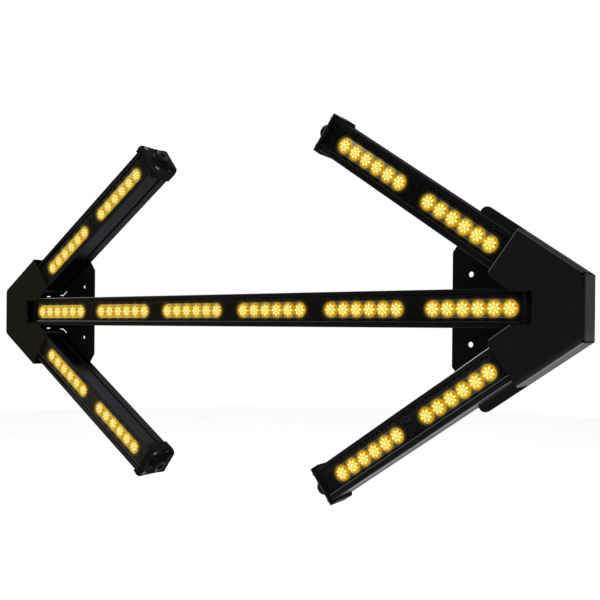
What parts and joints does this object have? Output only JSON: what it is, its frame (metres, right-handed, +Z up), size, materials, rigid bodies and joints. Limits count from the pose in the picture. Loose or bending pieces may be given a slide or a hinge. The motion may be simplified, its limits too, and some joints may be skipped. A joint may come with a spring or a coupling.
{
  "type": "flashing arrow board",
  "caption": "Two-way arrow board of amber light bars: a centre bar between two arrowheads, each joined by a drilled back plate and a folded cover, fixed flat to a vehicle.",
  "frame": {"origin": "middle of the four mounting holes, on the back plane of the hub plates", "axes": "+X along the centre bar to the right as seen from the front, +Y back into the mounting surface, +Z up; the lights face -Y"},
  "size_m": [0.808, 0.0435, 0.4242],
  "materials": {
    "housing": "black anodised, satin",
    "lens": "clear polycarbonate",
    "bezel": "black, glossy behind the lens",
    "optics": "clear moulding, lit amber",
    "light_board": "white solder mask",
    "led": "amber light source",
    "driver_board": "green solder mask",
    "leads": "red insulation",
    "cap": "moulded black, satin",
    "gland": "moulded black, glossy",
    "gasket": "black, matt",
    "cover": "black powder coat, satin",
    "plate": "black powder coat, matt",
    "bright_screw": "stainless, bright",
    "steel": "zinc plated"
  },
  "bodies": {
    "root": {"housing_centre": "housing", "housing_upper_left": "housing", "housing_upper_right": "housing", "housing_lower_left": "housing", "housing_lower_right": "housing", "lens_centre": "lens", "lens_upper_left": "lens", "lens_upper_right": "lens", "lens_lower_left": "lens", "lens_lower_right": "lens", "bezel_centre": "bezel", "bezel_upper_left": "bezel", "bezel_upper_right": "bezel", "bezel_lower_left": "bezel", "bezel_lower_right": "bezel", "optics_centre": "optics", "optics_upper_left": "optics", "optics_upper_right": "optics", "optics_lower_left": "optics", "optics_lower_right": "optics", "light_board_centre": "light_board", "light_board_upper_left": "light_board", "light_board_upper_right": "light_board", "light_board_lower_left": "light_board", "light_board_lower_right": "light_board", "driver_board_centre": "driver_board", "driver_board_upper_left": "driver_board", "driver_board_upper_right": "driver_board", "driver_board_lower_left": "driver_board", "driver_board_lower_right": "driver_board", "gland_centre": "gland", "gland_upper_left": "gland", "gland_upper_right": "gland", "gland_lower_left": "gland", "gland_lower_right": "gland", "end_cap_upper_left": "cap", "end_cap_upper_right": "cap", "end_cap_lower_left": "cap", "end_cap_lower_right": "cap", "end_plate_upper_left": "cap", "end_plate_upper_right": "cap", "end_plate_lower_left": "cap", "end_plate_lower_right": "cap", "end_plate_centre_left": "cap", "end_plate_centre_right": "cap", "led_packages": "led", "board_leads": "leads", "cap_gaskets": "gasket", "cap_screws": "bright_screw", "hub_cover_left": "cover", "hub_cover_right": "cover", "hub_plate_left": "plate", "hub_plate_right": "plate", "cover_nuts": "steel", "cover_screws": "steel", "slot_nuts": "steel", "plate_screws": "steel"}
  },
  "joints": []
}
